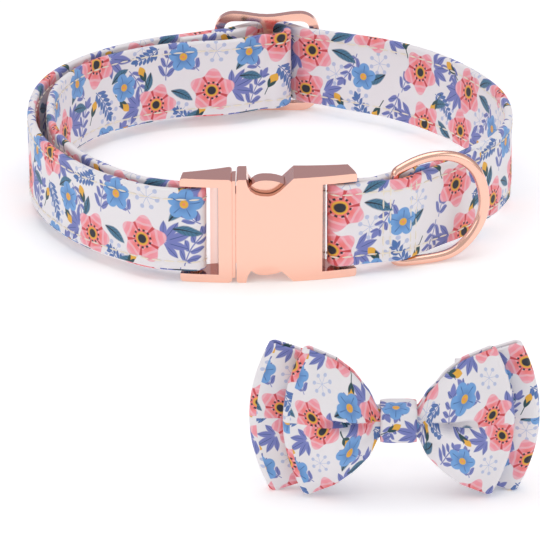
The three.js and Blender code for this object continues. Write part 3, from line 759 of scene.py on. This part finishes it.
strap = band_mesh("strap_cloth", run, strap_section(), PRINTED_CLOTH, pucker)
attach(strap, "collar")
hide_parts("strap")
print("strap faces:", len(strap.data.polygons))

# %% [markdown]
# ## Stitches
#
# A seam is a curve, and Geometry Nodes lays one stitch after another along it: the curve is
# resampled at the stitch length, and a small rounded thread is placed at each point and
# turned along the curve. A fixed seed lets every stitch sit a little off its neighbours.

# %% A node tree that sews
def sewing_tree():
    tree = bpy.data.node_groups.new("sewing", "GeometryNodeTree")
    tree.interface.new_socket("Seams", in_out="INPUT", socket_type="NodeSocketGeometry")
    for label in ("Pitch", "Length", "Thickness"):
        tree.interface.new_socket(label, in_out="INPUT", socket_type="NodeSocketFloat")
    tree.interface.new_socket("Thread", in_out="INPUT", socket_type="NodeSocketMaterial")
    tree.interface.new_socket("Stitches", in_out="OUTPUT", socket_type="NodeSocketGeometry")

    def add(kind, **settings):
        node = tree.nodes.new(kind)
        for key, value in settings.items():
            setattr(node, key, value)
        return node

    def link(source, name, target, to):
        tree.links.new(source.outputs[name], target.inputs[to])

    start, end = add("NodeGroupInput"), add("NodeGroupOutput")
    spaced = add("GeometryNodeResampleCurve", mode="LENGTH")
    link(start, "Seams", spaced, "Curve")
    link(start, "Pitch", spaced, "Length")
    tangent = add("GeometryNodeInputTangent")
    along = add("FunctionNodeAlignRotationToVector", axis="X")
    link(tangent, "Tangent", along, "Vector")
    wobble = add("FunctionNodeRandomValue", data_type="FLOAT_VECTOR")
    wobble.inputs["Min"].default_value = (-0.03, -0.04, -0.04)
    wobble.inputs["Max"].default_value = (0.03, 0.04, 0.04)
    wobble.inputs["Seed"].default_value = 11
    turn = add("FunctionNodeEulerToRotation")
    link(wobble, "Value", turn, "Euler")
    both = add("FunctionNodeRotateRotation", rotation_space="LOCAL")
    link(along, "Rotation", both, "Rotation")
    link(turn, "Rotation", both, "Rotate By")
    thread = add("GeometryNodeMeshUVSphere")
    thread.inputs["Segments"].default_value = 8
    thread.inputs["Rings"].default_value = 6
    thread.inputs["Radius"].default_value = 0.5
    size = add("ShaderNodeCombineXYZ")
    link(start, "Length", size, "X")
    link(start, "Thickness", size, "Y")
    link(start, "Thickness", size, "Z")
    placed = add("GeometryNodeInstanceOnPoints")
    link(spaced, "Curve", placed, "Points")
    link(thread, "Mesh", placed, "Instance")
    link(both, "Rotation", placed, "Rotation")
    link(size, "Vector", placed, "Scale")
    real = add("GeometryNodeRealizeInstances")
    link(placed, "Instances", real, "Geometry")
    smooth = add("GeometryNodeSetShadeSmooth")
    link(real, "Geometry", smooth, "Geometry")
    painted = add("GeometryNodeSetMaterial")
    link(smooth, "Geometry", painted, "Geometry")
    link(start, "Thread", painted, "Material")
    link(painted, "Geometry", end, "Stitches")
    return tree


SEWING = sewing_tree()


def sew(name, seams, pitch=3.7, length=3.1, thickness=0.5):
    """Stitches along seams, which are lists of points in metres, as one mesh object."""
    curve = bpy.data.curves.new(name + "_seams", "CURVE")
    curve.dimensions = "3D"
    for points in seams:
        spline = curve.splines.new("POLY")
        spline.points.add(len(points) - 1)
        spline.points.foreach_set("co", [value for point in points for value in (*point, 1)])
    line = bpy.data.objects.new(name + "_seams", curve)
    bpy.context.collection.objects.link(line)
    modifier = line.modifiers.new("sewing", "NODES")
    modifier.node_group = SEWING
    sockets = {item.name: item.identifier for item in SEWING.interface.items_tree}
    for label, value in (("Pitch", pitch * MM), ("Length", length * MM),
                         ("Thickness", thickness * MM), ("Thread", THREAD)):
        modifier[sockets[label]] = value
    sewn = line.evaluated_get(bpy.context.evaluated_depsgraph_get())
    made = bpy.data.meshes.new_from_object(sewn)
    bpy.data.objects.remove(line)
    made.name = name
    piece = bpy.data.objects.new(name, made)
    bpy.context.collection.objects.link(piece)
    return piece


# %% [markdown]
# The strap is sewn along both edges on both faces, and across itself in three places: at its
# tail, beside the lead ring, and at the sewn short end behind the slider. Each cross seam is
# two rows, and all of them lie just proud of the cloth.

# %% Seams of the strap
STITCH_OUT = STRAP_THICK / 2 - 0.02
CROSS_SEAMS = [(28.3, -59.8), (43.2, -51.5), (-25.5, 71.5)]


def nearest_station(place):
    """Station of the outermost layer that is nearest to a place seen from above."""
    away = np.linalg.norm(run.middle - np.array(place), axis=1)
    close = np.flatnonzero(away < away.min() + 4)
    reach = np.linalg.norm(run.middle[close] - LOOP_CENTRE, axis=1)
    return int(close[np.argmax(reach)])


def edge_seams():
    stations = range(2, len(run.gone) - 2)
    for face in (-1, 1):
        for up in (-SEAM_UP, SEAM_UP):
            yield [run.point(i, face * STITCH_OUT, up) for i in stations]


def cross_seams():
    for place in CROSS_SEAMS:
        middle = nearest_station(place)
        face = 1 if run.outward[middle] @ (run.middle[middle] - LOOP_CENTRE) > 0 else -1
        for step in (-1, 1):
            yield [run.point(middle + step, face * STITCH_OUT, up)
                   for up in np.linspace(-SEAM_UP, SEAM_UP, 12)]


strap_stitches = sew("strap_stitches", [*edge_seams(), *cross_seams()])
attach(strap_stitches, "collar")
print("stitch faces:", len(strap_stitches.data.polygons))

# %% [markdown]
# ## Metal
#
# The solids have the right shapes but hard edges, and cast metal has none. Each metal piece
# is a copy of its solid with its flat faces joined up again and every edge rounded.

# %% Rounded copies of the metal solids
def rounded_copy(node, body, width, segments=3, angle=28):
    """Copy of a solid with round edges, which stands for it. No width leaves its faces alone."""
    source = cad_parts[node]
    mesh = source.data.copy()
    mesh.name = node + "_metal"
    work = bmesh.new()
    work.from_mesh(mesh)
    bmesh.ops.remove_doubles(work, verts=work.verts, dist=0.002 * MM)
    if width:
        flat = math.radians(0.6)
        bmesh.ops.dissolve_limit(work, angle_limit=flat, verts=work.verts, edges=work.edges)
    else:
        bmesh.ops.join_triangles(work, faces=work.faces,
                                 angle_face_threshold=1, angle_shape_threshold=1)
    work.to_mesh(mesh)
    work.free()
    for layer in list(mesh.attributes):
        if layer.name in ("custom_normal", "sharp_edge", "sharp_face"):
            mesh.attributes.remove(layer)
    mesh.polygons.foreach_set("use_smooth", [True] * len(mesh.polygons))
    mesh.materials.clear()
    mesh.materials.append(ROSE_GOLD)
    piece = bpy.data.objects.new(node + "_metal", mesh)
    bpy.context.collection.objects.link(piece)
    if width:
        bevel = piece.modifiers.new("round edges", "BEVEL")
        bevel.width = width * MM
        bevel.segments = segments
        bevel.limit_method = "ANGLE"
        bevel.angle_limit = math.radians(angle)
        bevel.harden_normals = True
    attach(piece, body)
    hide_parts(node)
    return piece


for node, body, width in (("buckle_socket", "collar", 0.6), ("buckle_plug", "collar", 0.6),
                          ("lever_top", "upper_lever", 0.45), ("lever_bottom", "lower_lever", 0.45),
                          ("slider", "collar", 1.1)):
    piece = rounded_copy(node, body, width)
    print(piece.name, len(piece.data.polygons), "faces before rounding")

# %% [markdown]
# The lead ring is bent wire. Its solid has few sides, and subdivision rounds it.

# %% Lead ring
ring = rounded_copy("d_ring", "ring", 0.0)
subdivision = ring.modifiers.new("round wire", "SUBSURF")
subdivision.levels = 2
subdivision.render_levels = 2

# %% [markdown]
# ## The bow
#
# The bow is two loops of cloth, a wide one behind and a narrow one in front, held at their
# middle by the knot. Each loop is a front and a back layer that meet in a fold at both ends.
# Away from the knot the layers swell apart, and pleats run out from it and fade.

# %% Shape of a loop of the bow
BOW_PLACE = (31.4, -203.0)
WALL = 1.2
FOLD_RADIUS = 1.2
PINCH = 0.75
KNOT_WIDTH = 9.1
KNOT_CLEAR = 0.25
RIM_FLATNESS = 0.75
LEAN = 1.5
SINK = 0.5
FRONT_LOOP = {
    "corner": 23, "bulge": 27.7, "depths": {-1: 6.8, 1: 1.3}, "outside": -1,
    "aside": 0, "rise": 0.6, "seed": 3,
    "places": [4.9, 7, 11, 15.5, 23], "halves": [3.4, 8.2, 13.0, 16.6, 19.8],
}
REAR_LOOP = {
    "corner": 30.3, "bulge": 35, "depths": {-1: 1.3, 1: 3.6}, "outside": 1,
    "aside": -0.9, "rise": 0, "seed": 8,
    "places": [5.8, 7.8, 11, 15.5, 23, 30.3], "halves": [3.4, 6.8, 10.0, 13.6, 17.6, 20.0],
}
CLOTH_HALF = 21.0
BOW_PRINT_SCALE = 0.72
CREASE_WIDTH = 0.09
CREASE_DEPTH = 0.92
CREASE_RISE = {True: 0.12, False: 0.1}


def smooth(value, low, high):
    share = min(max((value - low) / (high - low), 0), 1)
    return share * share * (3 - 2 * share)


def held_share(loop):
    return (KNOT_WIDTH / 2 + KNOT_CLEAR + abs(loop["aside"])) / (loop["corner"] - FOLD_RADIUS)


def wing_half(loop, far):
    return float(np.interp(far * (loop["corner"] - FOLD_RADIUS), loop["places"], loop["halves"]))


BOW_MIDDLE_Z = wing_half(REAR_LOOP, 1.0)


def pleats(loop, far, side, height, left):
    """How far the cloth is pushed out by the pleats that run from the knot."""
    if side != loop["outside"]:
        return 0
    start = smooth(far, held_share(loop), 0.42)
    fade = 1 - smooth(far, 0.4, 0.85)
    waves = math.sin(height * (8.5 if left else 9.5) + (0.6 if left else 2.1))
    creases = noise.noise(Vector((far * 3, height * 6, loop["seed"] + left)))
    return (0.5 * waves + 0.3 * creases) * start * fade * (1 - abs(height) ** 6)


def bow_point(loop, share, side, height):
    """Point in the middle of the cloth, seen from the middle of the bow, in millimetres."""
    reach = loop["corner"] + (loop["bulge"] - loop["corner"]) * (1 - height * height)
    far = abs(share)
    held = held_share(loop)
    spread = smooth(far, held, 0.55)
    crowned = max(PINCH, loop["depths"][side] * (1 - RIM_FLATNESS * height * height))
    puffed = PINCH + (crowned - PINCH) * spread
    close = smooth(far, 0.5, 1)
    apart = puffed + (FOLD_RADIUS - puffed) * close
    outer = side == loop["outside"]
    crease_at = height - CREASE_RISE[share < 0] * far
    deep = 1 - smooth(far, 0.45, 0.95)
    valley = math.exp(-((crease_at / CREASE_WIDTH) ** 2)) * deep if outer else 0
    lean = loop["outside"] * (LEAN + 0.65 * smooth(far, held, 0.45))
    pressed = PINCH + (apart - PINCH) * (1 - CREASE_DEPTH * valley)
    out = pressed + pleats(loop, far, side, height, share < 0)
    lifted = -SINK + (loop["rise"] + SINK) * spread
    across = loop["aside"] + share * (reach - FOLD_RADIUS)
    return Vector((across, lean + side * out, height * wing_half(loop, far) + lifted))


# %% [markdown]
# The mesh goes once round the loop. At each place it holds a ring of points: up the outer
# face, over the rounded upper rim, down the inner face and under the lower rim. The print
# is laid from each rim towards the middle, so the pleats swallow the cloth between.

# %% Mesh of a loop of the bow
def loop_stations(loop, across):
    held = held_share(loop)
    wing = [held * i / 4 for i in range(1, 4)] + list(np.linspace(held, 1, across))
    shares = [*(-share for share in reversed(wing)), 0.0, *wing]
    folds = [math.radians(angle) for angle in (-60, -30, 0, 30, 60)]
    stations = [(share, -1, None) for share in shares]
    stations += [(1.0, 0, turn) for turn in folds]
    stations += [(share, 1, None) for share in reversed(shares)]
    return stations + [(-1.0, 0, turn) for turn in folds]


def loop_middle(loop, station, height):
    share, side, turn = station
    if side:
        return bow_point(loop, share, side, height)
    front = bow_point(loop, share, -1, height)
    back = bow_point(loop, share, 1, height)
    centre = (front + back) / 2
    round_way = math.copysign(1, share)
    centre.x += round_way * FOLD_RADIUS * math.cos(turn)
    centre.y += (back.y - front.y) / 2 * math.sin(turn) * round_way
    return centre


def bow_loop(name, loop, across=22, rows=40):
    stations = loop_stations(loop, across)
    heights = [math.copysign(abs(place) ** 1.3, place) for place in np.linspace(-1, 1, rows + 1)]
    middle = np.array([[tuple(loop_middle(loop, station, height)) for height in heights]
                       for station in stations])
    along = np.roll(middle, -1, axis=0) - np.roll(middle, 1, axis=0)
    along[..., 2] = 0
    along /= np.linalg.norm(along, axis=2)[..., None]
    out = np.stack([along[..., 1], -along[..., 0], np.zeros(along.shape[:2])], axis=2) * WALL / 2
    rim = WALL / 2 * 0.8
    up = np.array([0, 0, 1.0])
    walked = way_round(middle[:, rows // 2])
    rings = []
    for ring, push in zip(middle, out):
        ring = ring - np.outer(np.array(heights), up) * rim
        over_rim, under_rim = [], []
        for turn in np.radians((45, 90, 135)):
            aside, above = math.cos(turn), up * rim * math.sin(turn)
            over_rim.append(ring[-1] + push[-1] * aside + above)
            under_rim.append(ring[0] - push[0] * aside - above)
        rings.append([*(ring + push), *over_rim, *(ring - push)[::-1], *under_rim])
    place = np.array([*BOW_PLACE, BOW_MIDDLE_Z])
    points = [(Vector(point + place) + SHIFT) * MM for ring in rings for point in ring]
    sides = len(rings[0])
    faces, cloth = [], []
    for i in range(len(rings)):
        k = (i + 1) % len(rings)
        for j in range(sides):
            m = (j + 1) % sides
            faces.append((i * sides + j, k * sides + j, k * sides + m, i * sides + m))
            around_face = ((i, j, walked[i]), (k, j, walked[i + 1]),
                           (k, m, walked[i + 1]), (i, m, walked[i]))
            ups = [rings[a][b][2] - loop["rise"] for a, b, _ in around_face]
            half_way = sum(ups) / 4
            corners = []
            for (a, _, gone), above in zip(around_face, ups):
                half = wing_half(loop, abs(stations[a][0]))
                laid = math.copysign(CLOTH_HALF - half + abs(above), half_way)
                corners.append((gone / BOW_PRINT_SCALE, laid / BOW_PRINT_SCALE))
            cloth.append(tuple(corners))
    return mesh_object(name, points, faces, PRINTED_CLOTH, cloth)


bow_front = bow_loop("bow_front_cloth", FRONT_LOOP)
bow_rear = bow_loop("bow_rear_cloth", REAR_LOOP)
for piece, node, loop in ((bow_front, "bow_front", FRONT_LOOP), (bow_rear, "bow_rear", REAR_LOOP)):
    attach(piece, "collar")
    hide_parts(node)
    round_trip = 4 * loop["bulge"] * 1.04 * MM
    height = 2 * CLOTH_HALF * MM
    0.8 * height * round_trip
print("bow faces:", len(bow_front.data.polygons), len(bow_rear.data.polygons))

# %% [markdown]
# The knot is a band of the same cloth round the middle of both loops, and the two elastic
# bands behind the wings are what the collar's strap goes through.

# %% Knot and elastic bands
def rounded_rectangle(width, height, radius, steps=5):
    points = []
    for quarter, (x, y) in enumerate(((1, 1), (-1, 1), (-1, -1), (1, -1))):
        for turn in np.radians(np.linspace(90 * quarter, 90 * quarter + 90, steps)):
            points.append(Vector((x * (width / 2 - radius) + radius * math.cos(turn),
                                  y * (height / 2 - radius) + radius * math.sin(turn))))
    return points


PRINT_START = 9


def band_piece(node, material, wall, corner, crown, scale):
    """Band rebuilt from its solid's box: rounded, and a little fuller in the middle."""
    low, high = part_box(node)
    centre = (low + high) / 2
    size = (high - low) / MM
    outer = rounded_rectangle(size.y, size.z, corner)
    inner = rounded_rectangle(size.y - 2 * wall, size.z - 2 * wall, corner - wall)
    walked = way_round(outer)
    places = np.linspace(-1, 1, 13)
    columns = [0.49 * size.x * place for place in places]
    edges = [1 - abs(place) ** 4 for place in places]
    points = []
    for x, full in zip(columns, edges):
        points += [Vector((x, *(p + p.normalized() * (full - 1) * crown))) for p in outer]
    for x in reversed(columns):
        points += [Vector((x, p.x, p.y)) for p in inner]
    across = [*columns, *reversed(columns)]
    sides = len(outer)
    faces, cloth = [], []
    for i in range(len(across)):
        k = (i + 1) % len(across)
        for j in range(sides):
            m = (j + 1) % sides
            faces.append((i * sides + j, i * sides + m, k * sides + m, k * sides + j))
            corners = ((across[i], walked[j]), (across[i], walked[j + 1]),
                       (across[k], walked[j + 1]), (across[k], walked[j]))
            cloth.append(tuple((a / scale, b / scale + PRINT_START) for a, b in corners))
    placed = [centre + point * MM for point in points]
    return mesh_object(node + "_band", placed, faces, material, cloth)


for node, material, slot, wall, corner, crown, scale in (
        ("bow_knot", PRINTED_CLOTH, "printed_cloth", 1.0, 1.6, 0.35, BOW_PRINT_SCALE),
        ("elastic_left", ELASTIC_CLOTH, "elastic", 0.9, 1.9, 0.0, 1.0),
        ("elastic_right", ELASTIC_CLOTH, "elastic", 0.9, 1.9, 0.0, 1.0)):
    piece = band_piece(node, material, wall, corner, crown, scale)
    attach(piece, "collar")
    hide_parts(node)

# %% [markdown]
# ## Camera, floor and light
#
# The photograph looks down on the collar by about twenty degrees from far away, which keeps
# its near and far sides almost the same size. The floor and the surroundings are plain white,
# with a dim rose band behind, because metal shows what stands round it.

# %% Camera
CAMERA_FAR = 1100.0
CAMERA_ABOVE = math.radians(20)
CAMERA_DOWN = math.radians(21.85)
AIM_UP = 15.7
camera_data = bpy.data.cameras.new("camera")
camera_data.lens = 247.87
camera_data.sensor_width = 36
camera = bpy.data.objects.new("camera", camera_data)
bpy.context.collection.objects.link(camera)
seen_from = Vector((0, -CAMERA_FAR * math.cos(CAMERA_ABOVE),
                    AIM_UP + CAMERA_FAR * math.sin(CAMERA_ABOVE)))
camera.location = (seen_from + SHIFT) * MM
camera.rotation_euler = (math.pi / 2 - CAMERA_DOWN, 0, 0)
bpy.context.scene.camera = camera

# %% Floor, surroundings and lamps
floor_mesh = bpy.data.meshes.new("floor")
far = 4.0
corners = [(-far, -far, 0), (far, -far, 0), (far, far, 0), (-far, far, 0)]
floor_mesh.from_pydata(corners, [], [(0, 1, 2, 3)])
floor = bpy.data.objects.new("floor", floor_mesh)
bpy.context.collection.objects.link(floor)
white, _, white_shader = new_material("white floor", 0.9)
white_shader.inputs["Base Color"].default_value = (0.95, 0.95, 0.95, 1)
white_shader.inputs["Emission Color"].default_value = (1, 1, 1, 1)
white_shader.inputs["Emission Strength"].default_value = 0.22
floor_mesh.materials.append(white)

world = bpy.data.worlds.new("white room")
bpy.context.scene.world = world
world.use_nodes = True
sky = world.node_tree
sky.nodes.clear()
coordinates = sky.nodes.new("ShaderNodeTexCoord")
separate = sky.nodes.new("ShaderNodeSeparateXYZ")
sky.links.new(coordinates.outputs["Generated"], separate.inputs[0])
ahead = Wire(sky, separate.outputs["Y"])
up = Wire(sky, separate.outputs["Z"])
dim = ahead.over(0.35, 0.3) * up.under(0.75, 0.25)
room = blend(sky, dim, (0.95, 0.95, 0.95, 1), (0.66, 0.58, 0.68, 1))
background = sky.nodes.new("ShaderNodeBackground")
plug(sky, background.inputs["Color"], room)
background.inputs["Strength"].default_value = 0.64
world_output = sky.nodes.new("ShaderNodeOutputWorld")
sky.links.new(background.outputs[0], world_output.inputs[0])


def lamp(name, place, aim, size, power):
    data = bpy.data.lights.new(name, "AREA")
    data.shape = "RECTANGLE"
    data.size, data.size_y = size
    data.energy = power
    lamp_object = bpy.data.objects.new(name, data)
    lamp_object.location = place
    lamp_object.rotation_euler = (Vector(aim) - Vector(place)).to_track_quat("-Z", "Y").to_euler()
    bpy.context.collection.objects.link(lamp_object)


lamp("overhead", (0, 0.1, 1.3), (0, 0, 0), (1.4, 1.2), 6.4)
lamp("left", (-1.2, -0.7, 0.7), (0, 0, 0.02), (0.8, 0.8), 2.6)
lamp("right", (1.2, -0.6, 0.6), (0, 0, 0.02), (0.7, 0.9), 1.7)
bpy.context.scene.view_settings.view_transform = "Standard"
